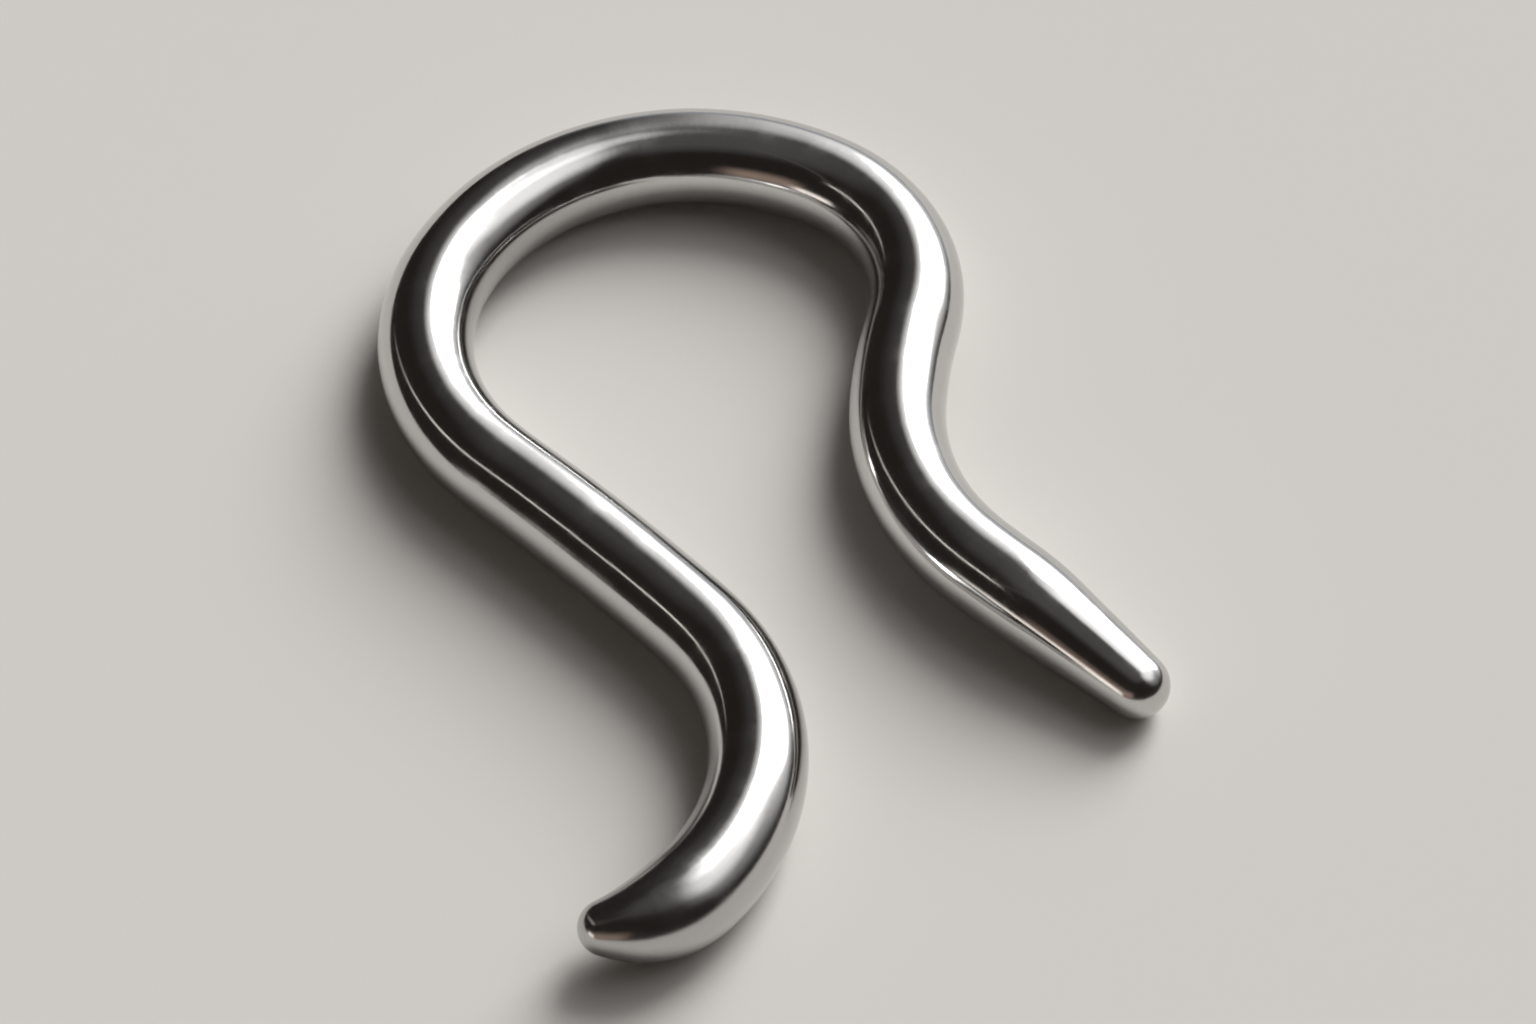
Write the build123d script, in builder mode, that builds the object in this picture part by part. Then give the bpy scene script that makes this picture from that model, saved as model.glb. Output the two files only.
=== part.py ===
"""A stainless steel hook, bent by hand from one length of round rod.

The rod makes an open loop. Its left leg runs off as a diagonal shank and ends in a wide
J-shaped bend with a blunt nose. Its right leg pinches in, swings out again and tapers to
a slim tip. Every bend runs tangent into the next, and the hook lies flat on its side.

Millimetres, +Z up. The origin is on the plane that the hook lies on, under the centre of
the loop's crown. Angles are in degrees, counter-clockwise seen from above.
"""

import os
from math import atan, cos, degrees, radians, sin, sqrt

from build123d import *

# Driving dimensions: the rod
rod_diameter = 5.0

# Driving dimensions: the crown of the loop, an arc about the origin
crown_radius = 14.0
crown_left_angle = 156.0
crown_right_angle = 59.0

# Driving dimensions: the left leg, from the crown to the blunt end
left_shoulder_radius = 11.8
left_shoulder_angle = 71.4
shank_bow_radius = 170.0
shank_length = 14.4
end_bend_radius = 12.6
end_bend_angle = 83.4
blunt_blend_length = 4.8
blunt_cone_length = 0.6
blunt_nose_diameter = 2.6

# Driving dimensions: the right leg, from the crown to the slim tip
right_shoulder_radius = 9.3
right_shoulder_angle = 73.4
waist_radius = 28.0
waist_length = 5.8
throat_radius = 13.4
throat_angle = 49.5
tip_lead_length = 1.7
tip_blend_length = 3.0
tip_cone_length = 5.7
tip_nose_diameter = 3.4

rod_radius = rod_diameter / 2
up = Vector(0, 0, 1)


def turn_over(length, radius):
    """Degrees that an arc of this length and radius turns through."""
    return degrees(length / radius)


def taper_curvature(blend_length, cone_length, nose_diameter):
    """Curvature of the blend that leads from the rod into a cone that ends at the nose.

    The axis of a blend bends by as much as its outline does, so one side of the taper stays
    in line with the rod and the whole loss of section is on the other side.
    """
    radius_lost = rod_radius - nose_diameter / 2
    return 2 * radius_lost / (blend_length**2 + 2 * blend_length * cone_length)


# Centre line of the full-round rod, from the crown down both legs
with BuildLine(Plane.XY.offset(rod_radius)) as rod_line:
    crown = CenterArc((0, 0), crown_radius, crown_right_angle, crown_left_angle - crown_right_angle)
    left_shoulder = JernArc(crown @ 1, crown % 1, left_shoulder_radius, left_shoulder_angle)
    shank_angle = turn_over(shank_length, shank_bow_radius)
    shank = JernArc(left_shoulder @ 1, left_shoulder % 1, shank_bow_radius, -shank_angle)
    end_bend = JernArc(shank @ 1, shank % 1, end_bend_radius, -end_bend_angle)
    right_shoulder = JernArc(crown @ 0, -(crown % 0), right_shoulder_radius, -right_shoulder_angle)
    waist_angle = turn_over(waist_length, waist_radius)
    waist = JernArc(right_shoulder @ 1, right_shoulder % 1, waist_radius, waist_angle)
    throat = JernArc(waist @ 1, waist % 1, throat_radius, throat_angle)
    tip_lead = Line(throat @ 1, throat @ 1 + (throat % 1) * tip_lead_length)

# The blunt end curls on in the plane of the hook, so its inner side follows the end bend
blunt_curvature = taper_curvature(blunt_blend_length, blunt_cone_length, blunt_nose_diameter)
curl_radius = 1 / (1 / end_bend_radius + blunt_curvature)
with BuildLine(Plane.XY.offset(rod_radius)) as blunt_line:
    curl_angle = turn_over(blunt_blend_length, curl_radius)
    blunt_axis = JernArc(end_bend @ 1, end_bend % 1, curl_radius, -curl_angle)

# The slim tip droops in its own upright plane, so its underside stays on the ground
tip_curvature = taper_curvature(tip_blend_length, tip_cone_length, tip_nose_diameter)
droop_radius = 1 / tip_curvature
tip_heading = tip_lead % 1
tip_side = up.cross(tip_heading)
with BuildLine(Plane(origin=tip_lead @ 1, x_dir=tip_heading, z_dir=-tip_side)) as tip_line:
    droop_angle = turn_over(tip_blend_length, droop_radius)
    tip_axis = JernArc((0, 0), (1, 0), droop_radius, -droop_angle)


def tapered_end(axis, curvature, cone_length, nose_diameter, across):
    """The tapering end of the rod: a blend swept along the axis, a cone and a round nose.

    Circles at the start, middle and end of the blend fix its parabola, and the cone runs on
    at the slope that the blend ends with. The nose is the part of a ball beyond the cone, and
    the ball is as large as it has to be to run on smoothly from that slope.
    """
    nose_radius = nose_diameter / 2
    slope = curvature * axis.length
    ball_radius = nose_radius * sqrt(1 + slope**2)
    ball_centre = cone_length - nose_radius * slope
    halfway = (radians(90) + atan(slope)) / 2
    nose_middle = (ball_centre + ball_radius * sin(halfway), ball_radius * cos(halfway))
    nose_point = (ball_centre + ball_radius, 0)

    with BuildPart() as end:
        for along in (0, 0.5, 1):
            section_radius = rod_radius - slope * axis.length * along**2 / 2
            with BuildSketch(Plane(origin=axis @ along, x_dir=across, z_dir=axis % along)):
                Circle(section_radius)
        sweep(path=axis, multisection=True)
        with BuildSketch(Plane(origin=axis @ 1, x_dir=axis % 1, z_dir=across)):
            with BuildLine():
                Polyline((0, 0), (0, section_radius), (cone_length, nose_radius))
                ThreePointArc((cone_length, nose_radius), nose_middle, nose_point)
                Line(nose_point, (0, 0))
            make_face()
        revolve(axis=Axis(axis @ 1, axis % 1))
    return end.part


blunt_end = tapered_end(blunt_axis, blunt_curvature, blunt_cone_length, blunt_nose_diameter, up)
slim_tip = tapered_end(tip_axis, tip_curvature, tip_cone_length, tip_nose_diameter, tip_side)

with BuildPart() as hook:
    with BuildSketch(Plane(origin=end_bend @ 1, x_dir=up, z_dir=end_bend % 1)):
        Circle(rod_radius)
    sweep(path=rod_line.wire())
    add(blunt_end)
    add(slim_tip)

hook.part.label = "hook"

os.makedirs("parts", exist_ok=True)
export_step(hook.part, "parts/hook.step")
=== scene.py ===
"""Looks of the stainless steel hook: polished rod, pale floor and soft studio light."""
import math

import bpy
import numpy as np
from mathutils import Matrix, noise


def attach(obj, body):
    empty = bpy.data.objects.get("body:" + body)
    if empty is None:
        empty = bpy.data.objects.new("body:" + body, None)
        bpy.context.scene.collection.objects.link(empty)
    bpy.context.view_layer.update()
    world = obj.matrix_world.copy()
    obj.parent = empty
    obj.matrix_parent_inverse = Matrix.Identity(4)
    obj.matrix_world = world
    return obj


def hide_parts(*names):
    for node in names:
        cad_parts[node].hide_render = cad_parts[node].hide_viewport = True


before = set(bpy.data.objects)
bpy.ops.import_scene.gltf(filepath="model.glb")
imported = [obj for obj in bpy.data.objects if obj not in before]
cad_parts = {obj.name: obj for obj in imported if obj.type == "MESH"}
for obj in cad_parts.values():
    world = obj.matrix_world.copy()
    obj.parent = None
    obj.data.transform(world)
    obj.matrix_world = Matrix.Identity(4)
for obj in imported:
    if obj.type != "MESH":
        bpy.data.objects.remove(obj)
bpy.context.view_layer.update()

MM = 0.001

# The rod's own sizes, in millimetres and degrees, the same as in the CAD source
ROD_RADIUS = 2.5
CROWN_RADIUS = 14.0
CROWN_LEFT_ANGLE = 156.0
CROWN_RIGHT_ANGLE = 59.0
LEFT_SHOULDER_RADIUS = 11.8
LEFT_SHOULDER_ANGLE = 71.4
SHANK_BOW_RADIUS = 170.0
SHANK_LENGTH = 14.4
END_BEND_RADIUS = 12.6
END_BEND_ANGLE = 83.4
BLUNT_BLEND_LENGTH = 4.8
BLUNT_CONE_LENGTH = 0.6
BLUNT_NOSE_RADIUS = 1.3
RIGHT_SHOULDER_RADIUS = 9.3
RIGHT_SHOULDER_ANGLE = 73.4
WAIST_RADIUS = 28.0
WAIST_LENGTH = 5.8
THROAT_RADIUS = 13.4
THROAT_ANGLE = 49.5
TIP_LEAD_LENGTH = 1.7
TIP_BLEND_LENGTH = 3.0
TIP_CONE_LENGTH = 5.7
TIP_NOSE_RADIUS = 1.7

# Length over which one bend eases into the next, in millimetres
BEND_EASE = 4.0

# Hand-made unevenness: rise as a share of the rod's radius, cells per millimetre along and across
UNEVEN_SHARE = 0.02
UNEVEN_SCALE = np.array([0.14, 0.1, 0.1])

# Each layer's cells are FINER times smaller than the last one's and rise FINER ** LOWER times less
UNEVEN_LAYERS = 2
FINER = 2.0
LOWER = 1.0

# How finely the rod is drawn
RING_POINTS = 128
RING_SPACING = 0.3
NOSE_RINGS = 16

# Columns of the centre line
X, Y, Z, HEADING, PITCH = range(5)


def taper_curvature(blend_length, cone_length, nose_radius):
    """Curvature of the blend from the rod into a cone that ends at the nose."""
    return 2 * (ROD_RADIUS - nose_radius) / (blend_length**2 + 2 * blend_length * cone_length)


BLUNT_CURVATURE = taper_curvature(BLUNT_BLEND_LENGTH, BLUNT_CONE_LENGTH, BLUNT_NOSE_RADIUS)
TIP_CURVATURE = taper_curvature(TIP_BLEND_LENGTH, TIP_CONE_LENGTH, TIP_NOSE_RADIUS)


def walk(start, heading, runs):
    """Points, headings and pitches along a leg. Each run is (turn, dip, length).

    Turn is the curvature in plan, dip the curvature in the upright plane of the heading.
    """
    x, y, z = start
    pitch = 0.0
    rows = [(x, y, z, heading, pitch)]
    for turn, dip, length in runs:
        count = max(2, round(length / RING_SPACING))
        step = length / count
        for _ in range(count):
            mid_heading = heading + turn * step / 2
            mid_pitch = pitch - dip * step / 2
            # A chord is this much shorter than its arc
            chord = step * (1 - ((turn + dip) * step) ** 2 / 24)
            x += math.cos(mid_heading) * math.cos(mid_pitch) * chord
            y += math.sin(mid_heading) * math.cos(mid_pitch) * chord
            z += math.sin(mid_pitch) * chord
            heading += turn * step
            pitch -= dip * step
            rows.append((x, y, z, heading, pitch))
    return np.array(rows)


def bend(radius, angle):
    """One in-plane bend; a negative angle turns clockwise."""
    return (math.copysign(1 / radius, angle), 0.0, radius * math.radians(abs(angle)))


def eased(values):
    """Weighted mean of each value and its neighbours over BEND_EASE, straight past the ends."""
    reach = round(BEND_EASE / 2 / RING_SPACING)
    # The window is zero at both of its ends, so they are left off
    weights = np.hanning(2 * reach + 3)[1:-1]
    steps = np.arange(1, reach + 1)
    before = values[0] - steps[::-1] * (values[1] - values[0])
    after = values[-1] + steps * (values[-1] - values[-2])
    return np.convolve(np.concatenate([before, values, after]), weights / weights.sum(), "valid")


def centre_line():
    """Rows of x, y, z, heading and pitch from the blunt end's cone to the tip's cone."""
    left, right = math.radians(CROWN_LEFT_ANGLE), math.radians(CROWN_RIGHT_ANGLE)
    left_start = (CROWN_RADIUS * math.cos(left), CROWN_RADIUS * math.sin(left), ROD_RADIUS)
    right_start = (CROWN_RADIUS * math.cos(right), CROWN_RADIUS * math.sin(right), ROD_RADIUS)
    curl = -(1 / END_BEND_RADIUS + BLUNT_CURVATURE)
    left_leg = walk(left_start, left + math.pi / 2, [
        bend(LEFT_SHOULDER_RADIUS, LEFT_SHOULDER_ANGLE),
        (-1 / SHANK_BOW_RADIUS, 0.0, SHANK_LENGTH),
        bend(END_BEND_RADIUS, -END_BEND_ANGLE),
        (curl, 0.0, BLUNT_BLEND_LENGTH),
        (0.0, 0.0, BLUNT_CONE_LENGTH),
    ])
    right_leg = walk(right_start, right - math.pi / 2, [
        bend(RIGHT_SHOULDER_RADIUS, -RIGHT_SHOULDER_ANGLE),
        (1 / WAIST_RADIUS, 0.0, WAIST_LENGTH),
        bend(THROAT_RADIUS, THROAT_ANGLE),
        (0.0, 0.0, TIP_LEAD_LENGTH),
        (0.0, TIP_CURVATURE, TIP_BLEND_LENGTH),
        (0.0, 0.0, TIP_CONE_LENGTH),
    ])
    crown = walk(left_start, left - math.pi / 2, [
        bend(CROWN_RADIUS, CROWN_RIGHT_ANGLE - CROWN_LEFT_ANGLE),
    ])
    back = left_leg[::-1].copy()
    back[:, HEADING] += math.pi
    back[:, PITCH] *= -1
    line = np.vstack([back[:-1], crown, right_leg[1:]])
    line[:, HEADING] = np.unwrap(line[:, HEADING])
    for column in (X, Y, HEADING):
        line[:, column] = eased(line[:, column])
    return line


def taper(distance, curvature, blend_length, cone_length):
    """Radius lost and slope at a distance from the cone's small end."""
    into = np.clip(blend_length + cone_length - distance, 0, None)
    in_blend = np.minimum(into, blend_length)
    in_cone = into - in_blend
    slope = curvature * in_blend
    return curvature * in_blend**2 / 2 + slope * in_cone, slope


def swell(places):
    """Column of low rises and hollows at places on the straight rod, as shares of its radius."""
    return UNEVEN_SHARE * np.array([
        [noise.fractal(place, LOWER, FINER, UNEVEN_LAYERS, noise_basis="PERLIN_NEW")]
        for place in places * UNEVEN_SCALE
    ])


def rod_mesh():
    """The rod's vertices, faces and the place of each vertex on the rod before it was bent."""
    line = centre_line()
    centres = line[:, [X, Y, Z]]
    heading = line[:, HEADING]
    pitch = line[:, PITCH]
    steps = np.linalg.norm(np.diff(centres, axis=0), axis=1)
    along = np.concatenate([[0.0], np.cumsum(steps)])
    lost_blunt, slope_blunt = taper(
        along, BLUNT_CURVATURE, BLUNT_BLEND_LENGTH, BLUNT_CONE_LENGTH)
    lost_tip, slope_tip = taper(
        along[-1] - along, TIP_CURVATURE, TIP_BLEND_LENGTH, TIP_CONE_LENGTH)
    radii = ROD_RADIUS - lost_blunt - lost_tip
    forward = np.column_stack([
        np.cos(heading) * np.cos(pitch), np.sin(heading) * np.cos(pitch), np.sin(pitch)])
    side = np.column_stack([np.sin(heading), -np.cos(heading), np.zeros(len(heading))])
    over = np.cross(side, forward)

    def nose(end, sign, slope, radius):
        """The ball that closes an end: its rings from the cone outwards, its pole and reach."""
        ball = radius * math.sqrt(1 + slope**2)
        first = math.atan(slope)
        angles = first + (math.pi / 2 - first) * np.arange(1, NOSE_RINGS) / NOSE_RINGS
        reach = -radius * slope + ball * np.sin(angles)
        rings = [
            (centres[end] + sign * forward[end] * r, side[end], over[end],
             ball * math.cos(a), along[end] + sign * r)
            for r, a in zip(reach, angles)
        ]
        pole_reach = ball - radius * slope
        return rings, centres[end] + sign * forward[end] * pole_reach, pole_reach

    first_rings, first_pole, first_reach = nose(0, -1, slope_blunt[0], BLUNT_NOSE_RADIUS)
    last_rings, last_pole, last_reach = nose(-1, 1, slope_tip[-1], TIP_NOSE_RADIUS)
    body = list(zip(centres, side, over, radii, along))
    rings = first_rings[::-1] + body + last_rings

    turn = np.linspace(0, 2 * math.pi, RING_POINTS, endpoint=False)
    cosine, sine = np.cos(turn)[:, None], np.sin(turn)[:, None]
    points, straight = [], []
    for centre, across, upward, radius, station in rings:
        places = np.column_stack([
            np.full(RING_POINTS, station), radius * cosine[:, 0], radius * sine[:, 0]])
        # The underside stays even, so that the rod still lies flat
        uneven = radius * (1 + swell(places) * (1 + sine) / 2)
        points.append(centre + uneven * (cosine * across + sine * upward))
        straight.append(places)
    points = np.vstack(points + [first_pole[None], last_pole[None]])
    straight = np.vstack(straight + [
        [[-first_reach, 0.0, 0.0]], [[along[-1] + last_reach, 0.0, 0.0]]])

    n = RING_POINTS
    faces = []
    for ring in range(len(rings) - 1):
        for k in range(n):
            a, b = ring * n + k, ring * n + (k + 1) % n
            faces.append((a, a + n, b + n, b))
    first_tip = len(points) - 2
    last_tip = len(points) - 1
    last_ring = (len(rings) - 1) * n
    for k in range(n):
        faces.append((k, (k + 1) % n, first_tip))
        faces.append((last_ring + (k + 1) % n, last_ring + k, last_tip))
    return points, faces, straight


def make_rod():
    points, faces, straight = rod_mesh()
    mesh = bpy.data.meshes.new("hook_rod")
    mesh.from_pydata((points * MM).tolist(), [], faces)
    mesh.validate()
    mesh.shade_smooth()
    place = mesh.attributes.new("straight", "FLOAT_VECTOR", "POINT")
    place.data.foreach_set("vector", straight.astype(np.float32).ravel())
    rod = bpy.data.objects.new("hook_rod", mesh)
    bpy.context.scene.collection.objects.link(rod)
    return rod


class Graph:
    """Short ways to add shader nodes."""

    def __init__(self, tree):
        self.nodes, self.links = tree.nodes, tree.links

    def put(self, socket, value):
        if isinstance(value, bpy.types.NodeSocket):
            self.links.new(value, socket)
        else:
            socket.default_value = value

    def math(self, operation, a, b=0.0, c=0.0):
        node = self.nodes.new("ShaderNodeMath")
        node.operation = operation
        for socket, value in zip(node.inputs, (a, b, c)):
            self.put(socket, value)
        return node.outputs[0]

    def add(self, textures, shares, base=0.0):
        """The base plus each named texture times its share."""
        total = base
        for name, share in shares.items():
            total = self.math("MULTIPLY_ADD", textures[name], share, total)
        return total

    def vector(self, operation, *values):
        node = self.nodes.new("ShaderNodeVectorMath")
        node.operation = operation
        for socket, value in zip(node.inputs, values):
            self.put(socket, value)
        return node.outputs["Value" if operation == "DOT_PRODUCT" else "Vector"]

    def split(self, vector):
        node = self.nodes.new("ShaderNodeSeparateXYZ")
        self.links.new(vector, node.inputs[0])
        return node.outputs

    def smooth(self, value, low, high):
        node = self.nodes.new("ShaderNodeMapRange")
        node.interpolation_type = "SMOOTHSTEP"
        self.put(node.inputs["Value"], value)
        node.inputs["From Min"].default_value = low
        node.inputs["From Max"].default_value = high
        return node.outputs["Result"]

    def noise(self, vector, scale, detail):
        """Noise from 0 to 1; scale is the number of cells in a unit of the vector."""
        node = self.nodes.new("ShaderNodeTexNoise")
        self.links.new(vector, node.inputs["Vector"])
        node.inputs["Scale"].default_value = scale
        node.inputs["Detail"].default_value = detail
        return node.outputs[0]


def new_material(name):
    material = bpy.data.materials.new(name)
    material.use_nodes = True
    return material, Graph(material.node_tree), material.node_tree.nodes["Principled BSDF"]


# Red, green and blue of the steel at full shade
STEEL_TINT = (0.62, 0.61, 0.6)

# Noises on the steel: stretch along and across the rod, cells in a millimetre, detail
NOISES = {
    "lines": ((0.1, 3.0, 3.0), 1.6, 3.0),
    "clouds": ((1.0, 0.6, 0.6), 0.6, 3.0),
    "ripples": ((1.0, 1.0, 1.0), 1.2, 1.0),
    "grain": ((1.0, 1.0, 1.0), 4.0, 1.0),
}

# Pits: cells in a millimetre, and the distances in cells at which a pit starts and is deepest
PIT_CELLS = 1.1
PIT_EDGE = (0.07, 0.02)

# Values of the clouds between which a smudge comes up
SMUDGE_EDGE = (0.48, 0.72)

# Places along the rod, in millimetres, between which the look of each dressed end comes up:
# rougher steel, and at the blunt end also a painted shade that darkens the colour
BLUNT_EDGE = (15.0, 1.0)
TIP_EDGE = (113.0, 118.0)

# What the textures add to the steel's shade and roughness, and how high they stand in millimetres
BASE_SHADE = 0.875
# The blunt share in SHADE is painted shade: it darkens the steel's colour towards the blunt end,
# as if less light reached it
SHADE = {"clouds": 0.1, "lines": 0.1, "grain": 0.05, "pit": -0.2, "blunt": -0.15}
BASE_ROUGHNESS = 0.07
ROUGHNESS = {
    "lines": 0.06,
    "grain": 0.04,
    "smudge": 0.05,
    "blunt": 0.08,
    "tip": 0.05,
    "pit": 0.05,
}
HEIGHT = {"clouds": 0.005, "ripples": 0.0015, "lines": 0.001, "grain": 0.0008, "pit": -0.0015}


def steel_material():
    """Stainless rod polished along its length, softer at the dressed ends, with a painted shade
    darkening the blunt end.

    Every texture is laid out in millimetres on the rod before it was bent, so it follows the
    bends and has no seam.
    """
    material, graph, shader = new_material("polished_steel")
    place = graph.nodes.new("ShaderNodeAttribute")
    place.attribute_name = "straight"
    straight = place.outputs["Vector"]
    station = graph.split(straight)[0]

    textures = {
        name: graph.noise(graph.vector("MULTIPLY", straight, stretch), cells, detail)
        for name, (stretch, cells, detail) in NOISES.items()
    }
    pits = graph.nodes.new("ShaderNodeTexVoronoi")
    graph.links.new(straight, pits.inputs["Vector"])
    pits.inputs["Scale"].default_value = PIT_CELLS
    textures["pit"] = graph.smooth(pits.outputs["Distance"], *PIT_EDGE)
    textures["smudge"] = graph.smooth(textures["clouds"], *SMUDGE_EDGE)
    textures["blunt"] = graph.smooth(station, *BLUNT_EDGE)
    textures["tip"] = graph.smooth(station, *TIP_EDGE)

    # The shade includes the blunt share, a painted shade that darkens the steel towards the blunt
    # end
    tint = graph.vector("SCALE", STEEL_TINT)
    graph.put(tint.node.inputs["Scale"], graph.add(textures, SHADE, BASE_SHADE))
    graph.put(shader.inputs["Base Color"], tint)
    graph.put(shader.inputs["Roughness"], graph.add(textures, ROUGHNESS, BASE_ROUGHNESS))
    shader.inputs["Metallic"].default_value = 1.0

    bump = graph.nodes.new("ShaderNodeBump")
    bump.inputs["Distance"].default_value = MM
    graph.put(bump.inputs["Height"], graph.add(textures, HEIGHT))
    graph.put(shader.inputs["Normal"], bump.outputs[0])
    return material


# The floor reaches this far from the origin along X and Y, in metres
FLOOR_REACH = 4.0
FLOOR_COLOUR = (0.62, 0.6, 0.57, 1)
FLOOR_ROUGHNESS = 0.9
FLOOR_SPECULAR = 0.2


def floor_material():
    """Plain, pale and matt."""
    material, _, shader = new_material("floor")
    shader.inputs["Base Color"].default_value = FLOOR_COLOUR
    shader.inputs["Roughness"].default_value = FLOOR_ROUGHNESS
    shader.inputs["Specular IOR Level"].default_value = FLOOR_SPECULAR
    return material


def patch(graph, azimuth, elevation, sides):
    """1 inside a patch of the surroundings and 0 outside it, smooth across its edges.

    Sides are (left, soft), (right, soft), (bottom, soft) and (top, soft) in degrees: an edge
    fades over soft degrees to each side of itself.
    """
    (left, left_soft), (right, right_soft), (bottom, bottom_soft), (top, top_soft) = sides
    rise = graph.smooth(azimuth, left - left_soft, left + left_soft)
    fall = graph.smooth(azimuth, right + right_soft, right - right_soft)
    lift = graph.smooth(elevation, bottom - bottom_soft, bottom + bottom_soft)
    drop = graph.smooth(elevation, top + top_soft, top - top_soft)
    across = graph.math("MULTIPLY", rise, fall)
    upward = graph.math("MULTIPLY", lift, drop)
    return graph.math("MULTIPLY", across, upward)


WHITE = (1.0, 1.0, 1.0)
CREAM = (1.0, 0.93, 0.86)
COOL = (0.84, 0.91, 1.0)

# Light that comes from everywhere else
ROOM = (0.02, 0.017, 0.015)

# Places and widths of lights are in degrees. Azimuth 0 is +Y and 90 is +X.

# Panels round the hook: azimuth and elevation edges with their softness, strength, tint
PANELS = (
    ("softbox", ((16, 4), (54, 6), (18, 5), (55, 7)), 10.5, WHITE),
    ("softbox_rim", ((2, 10), (64, 20), (9, 6), (57, 13)), 1.0, WHITE),
    ("skirt", ((-8, 8), (48, 16), (-4, 2), (8, 5)), 0.42, COOL),
    ("side_card", ((-134, 4), (-111, 5), (-3, 2), (9, 5)), 1.8, CREAM),
    ("warm_card", ((-166, 8), (-132, 8), (1, 8), (21, 8)), 1.0, (0.3, 0.22, 0.18)),
)

# Round pools of light: azimuth and elevation of the middle, inner and outer radius, strength
POOLS = (
    ("far_reflector", 83, 56, 0, 28, 0.95),
    ("side_reflector", 82, 44, 0, 38, 0.33),
    ("softbox_top", 40, 66, 0, 17, 1.0),
    ("haze", 16, 40, 5, 46, 0.04),
    ("ceiling", 0, 90, 10, 38, 0.07),
)

# A tube's sides fade out between these multiples of its half width
TUBE_SIDES = (1.5, 0.5)

# A tube's ends fade in over this share of the cosine's rise from the end to the middle
TUBE_END = 0.2

# Thin tubes: azimuth and elevation of the bright end and the far end, half width, strength
TUBES = (
    ("thin_tube", (-112, 42), (-50, 8), 0.65, 2.4),
    ("dim_tube", (-104, 36), (-152, 76), 0.8, 0.1),
)


def direction(azimuth, elevation):
    """Unit vector; azimuth 0 is +Y and 90 is +X."""
    a, e = math.radians(azimuth), math.radians(elevation)
    return np.array([math.sin(a) * math.cos(e), math.cos(a) * math.cos(e), math.sin(e)])


def tube_mask(graph, ray, first, last, half_width):
    """1 at the first end of a straight line seen between two directions, fading to the last."""
    a, b = direction(*first), direction(*last)
    normal = np.cross(a, b) / np.linalg.norm(np.cross(a, b))
    middle = (a + b) / np.linalg.norm(a + b)
    reach = float(a @ middle)
    width = math.radians(half_width)
    off = graph.math("ABSOLUTE", graph.vector("DOT_PRODUCT", ray, normal))
    beside = graph.smooth(off, *[share * width for share in TUBE_SIDES])
    full = reach + TUBE_END * (1 - reach)
    between = graph.smooth(graph.vector("DOT_PRODUCT", ray, middle), reach, full)
    near = graph.smooth(graph.vector("DOT_PRODUCT", ray, a), float(a @ b), 1.0)
    return graph.math("MULTIPLY", graph.math("MULTIPLY", beside, between), near)


def make_world():
    world = bpy.data.worlds.new("studio")
    bpy.context.scene.world = world
    world.use_nodes = True
    graph = Graph(world.node_tree)
    ray = graph.nodes.new("ShaderNodeTexCoord").outputs["Generated"]
    x, y, z = graph.split(ray)
    azimuth = graph.math("DEGREES", graph.math("ARCTAN2", x, y))
    elevation = graph.math("DEGREES", graph.math("ARCSINE", z))
    lights = [
        (patch(graph, azimuth, elevation, sides), strength, tint)
        for _, sides, strength, tint in PANELS
    ]
    for _, at_azimuth, at_elevation, inner, outer, strength in POOLS:
        facing = graph.vector("DOT_PRODUCT", ray, direction(at_azimuth, at_elevation))
        edges = [math.cos(math.radians(angle)) for angle in (outer, inner)]
        lights.append((graph.smooth(facing, *edges), strength, WHITE))
    for _, first, last, half_width, strength in TUBES:
        lights.append((tube_mask(graph, ray, first, last, half_width), strength, CREAM))
    total = ROOM
    for mask, strength, tint in lights:
        total = graph.vector("MULTIPLY_ADD", mask, [strength * c for c in tint], total)
    graph.links.new(total, graph.nodes["Background"].inputs["Color"])


def make_floor():
    reach = FLOOR_REACH
    corners = [(-reach, -reach, 0), (reach, -reach, 0), (reach, reach, 0), (-reach, reach, 0)]
    mesh = bpy.data.meshes.new("floor")
    mesh.from_pydata(corners, [], [(0, 1, 2, 3)])
    floor = bpy.data.objects.new("floor", mesh)
    bpy.context.scene.collection.objects.link(floor)
    mesh.materials.append(floor_material())


# Lens and sensor width in millimetres
LENS = 150
SENSOR_WIDTH = 36

# The camera's place in metres, its tilt from straight down in degrees, and its range in metres
CAMERA_PLACE = (0.00395, -0.21918, 0.25089)
CAMERA_TILT = 40
NEAREST = 0.01
FARTHEST = 20


def make_camera():
    data = bpy.data.cameras.new("camera")
    data.lens = LENS
    data.sensor_width = SENSOR_WIDTH
    data.clip_start = NEAREST
    data.clip_end = FARTHEST
    camera = bpy.data.objects.new("camera", data)
    camera.location = CAMERA_PLACE
    camera.rotation_euler = (math.radians(CAMERA_TILT), 0, 0)
    bpy.context.scene.collection.objects.link(camera)
    bpy.context.scene.camera = camera


bpy.context.scene.view_settings.view_transform = "Standard"
make_camera()
make_world()
make_floor()
rod = make_rod()
rod.data.materials.append(steel_material())
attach(rod, "root")
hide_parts("hook")
